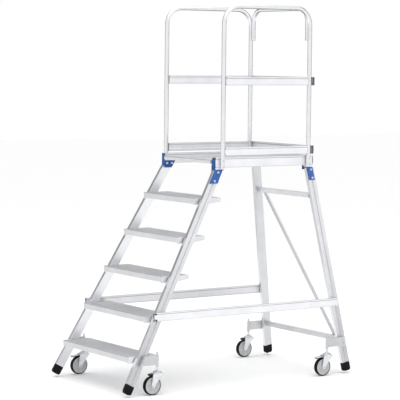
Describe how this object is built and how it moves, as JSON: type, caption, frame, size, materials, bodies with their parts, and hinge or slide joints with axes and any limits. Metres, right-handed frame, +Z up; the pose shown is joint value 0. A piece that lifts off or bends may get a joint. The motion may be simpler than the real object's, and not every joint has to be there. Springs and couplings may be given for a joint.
{
  "type": "rolling warehouse ladder",
  "caption": "Mobile platform ladder: ribbed treads between splayed stringers up to a guard-railed deck, on sprung swivel casters with foot brakes.",
  "frame": {"origin": "on the floor at the middle of the base", "axes": "+Z up, +Y from the lowest tread towards the rear legs, +X across the treads"},
  "size_m": [0.9494, 1.7898, 2.443],
  "materials": {
    "aluminium": "satin extruded",
    "blue_brackets": "semi-gloss powder coat",
    "black_rubber": "matte",
    "zinc_steel": "bright zinc plated",
    "grey_plastic": "satin",
    "black_plastic": "satin"
  },
  "bodies": {
    "frame": {"stringer_left": "aluminium", "foot_front_left": "black_rubber", "rear_leg_left": "aluminium", "foot_rear_left": "black_rubber", "platform_beam_left": "aluminium", "corner_bracket_front_left": "blue_brackets", "corner_bracket_rear_left": "blue_brackets", "guard_frame_left": "aluminium", "knee_rail_left": "aluminium", "toe_board_left": "aluminium", "side_brace_left": "aluminium", "stringer_right": "aluminium", "foot_front_right": "black_rubber", "rear_leg_right": "aluminium", "foot_rear_right": "black_rubber", "platform_beam_right": "aluminium", "corner_bracket_front_right": "blue_brackets", "corner_bracket_rear_right": "blue_brackets", "guard_frame_right": "aluminium", "knee_rail_right": "aluminium", "toe_board_right": "aluminium", "side_brace_right": "aluminium", "tread_1": "aluminium", "tread_2": "aluminium", "tread_3": "aluminium", "tread_4": "aluminium", "tread_5": "aluminium", "platform_beam_rear": "aluminium", "deck_panel": "aluminium", "deck_nosing": "aluminium", "guard_bow_rear": "aluminium", "knee_rail_rear": "aluminium", "toe_board_rear": "aluminium", "rear_crossbar_upper": "aluminium", "rear_crossbar_lower": "aluminium", "rear_diagonal": "aluminium", "caster_arm_front_left": "aluminium", "caster_arm_front_right": "aluminium", "caster_arm_rear_left": "aluminium", "caster_arm_rear_right": "aluminium"},
    "spindle_front_left": {"caster_spindle_front_left": "zinc_steel"},
    "fork_front_left": {"caster_fork_front_left": "zinc_steel"},
    "wheel_front_left": {"wheel_hub_front_left": "grey_plastic", "tyre_front_left": "black_rubber"},
    "pedal_front_left": {"brake_pedal_front_left": "black_plastic"},
    "spindle_front_right": {"caster_spindle_front_right": "zinc_steel"},
    "fork_front_right": {"caster_fork_front_right": "zinc_steel"},
    "wheel_front_right": {"wheel_hub_front_right": "grey_plastic", "tyre_front_right": "black_rubber"},
    "pedal_front_right": {"brake_pedal_front_right": "black_plastic"},
    "spindle_rear_left": {"caster_spindle_rear_left": "zinc_steel"},
    "fork_rear_left": {"caster_fork_rear_left": "zinc_steel"},
    "wheel_rear_left": {"wheel_hub_rear_left": "grey_plastic", "tyre_rear_left": "black_rubber"},
    "pedal_rear_left": {"brake_pedal_rear_left": "black_plastic"},
    "spindle_rear_right": {"caster_spindle_rear_right": "zinc_steel"},
    "fork_rear_right": {"caster_fork_rear_right": "zinc_steel"},
    "wheel_rear_right": {"wheel_hub_rear_right": "grey_plastic", "tyre_rear_right": "black_rubber"},
    "pedal_rear_right": {"brake_pedal_rear_right": "black_plastic"}
  },
  "joints": [
    {"name": "spring_front_left", "type": "slide", "parent": "frame", "child": "spindle_front_left", "axis": [0, 0, 1], "range_m": [0, 0.012], "stiffness_N_per_m": 8000, "springref_m": -0.017},
    {"name": "swivel_front_left", "type": "hinge", "parent": "spindle_front_left", "child": "fork_front_left", "pos_m": [-0.445, -0.653, 0.143], "axis": [0, 0, 1], "continuous": true},
    {"name": "roll_front_left", "type": "hinge", "parent": "fork_front_left", "child": "wheel_front_left", "pos_m": [-0.445, -0.691, 0.05949], "axis": [1, 0, 0], "continuous": true},
    {"name": "brake_front_left", "type": "hinge", "parent": "fork_front_left", "child": "pedal_front_left", "pos_m": [-0.445, -0.677, 0.127], "axis": [1, 0, 0], "range_deg": [0, 6.5]},
    {"name": "spring_front_right", "type": "slide", "parent": "frame", "child": "spindle_front_right", "axis": [0, 0, 1], "range_m": [0, 0.012], "stiffness_N_per_m": 8000, "springref_m": -0.017},
    {"name": "swivel_front_right", "type": "hinge", "parent": "spindle_front_right", "child": "fork_front_right", "pos_m": [0.445, -0.653, 0.143], "axis": [0, 0, 1], "continuous": true},
    {"name": "roll_front_right", "type": "hinge", "parent": "fork_front_right", "child": "wheel_front_right", "pos_m": [0.445, -0.691, 0.05949], "axis": [1, 0, 0], "continuous": true},
    {"name": "brake_front_right", "type": "hinge", "parent": "fork_front_right", "child": "pedal_front_right", "pos_m": [0.445, -0.677, 0.127], "axis": [1, 0, 0], "range_deg": [0, 6.5]},
    {"name": "spring_rear_left", "type": "slide", "parent": "frame", "child": "spindle_rear_left", "axis": [0, 0, 1], "range_m": [0, 0.012], "stiffness_N_per_m": 8000, "springref_m": -0.017},
    {"name": "swivel_rear_left", "type": "hinge", "parent": "spindle_rear_left", "child": "fork_rear_left", "pos_m": [-0.445, 0.696, 0.143], "axis": [0, 0, 1], "continuous": true},
    {"name": "roll_rear_left", "type": "hinge", "parent": "fork_rear_left", "child": "wheel_rear_left", "pos_m": [-0.445, 0.658, 0.05949], "axis": [1, 0, 0], "continuous": true},
    {"name": "brake_rear_left", "type": "hinge", "parent": "fork_rear_left", "child": "pedal_rear_left", "pos_m": [-0.445, 0.672, 0.127], "axis": [1, 0, 0], "range_deg": [0, 6.5]},
    {"name": "spring_rear_right", "type": "slide", "parent": "frame", "child": "spindle_rear_right", "axis": [0, 0, 1], "range_m": [0, 0.012], "stiffness_N_per_m": 8000, "springref_m": -0.017},
    {"name": "swivel_rear_right", "type": "hinge", "parent": "spindle_rear_right", "child": "fork_rear_right", "pos_m": [0.445, 0.696, 0.143], "axis": [0, 0, 1], "continuous": true},
    {"name": "roll_rear_right", "type": "hinge", "parent": "fork_rear_right", "child": "wheel_rear_right", "pos_m": [0.445, 0.658, 0.05949], "axis": [1, 0, 0], "continuous": true},
    {"name": "brake_rear_right", "type": "hinge", "parent": "fork_rear_right", "child": "pedal_rear_right", "pos_m": [0.445, 0.672, 0.127], "axis": [1, 0, 0], "range_deg": [0, 6.5]}
  ]
}
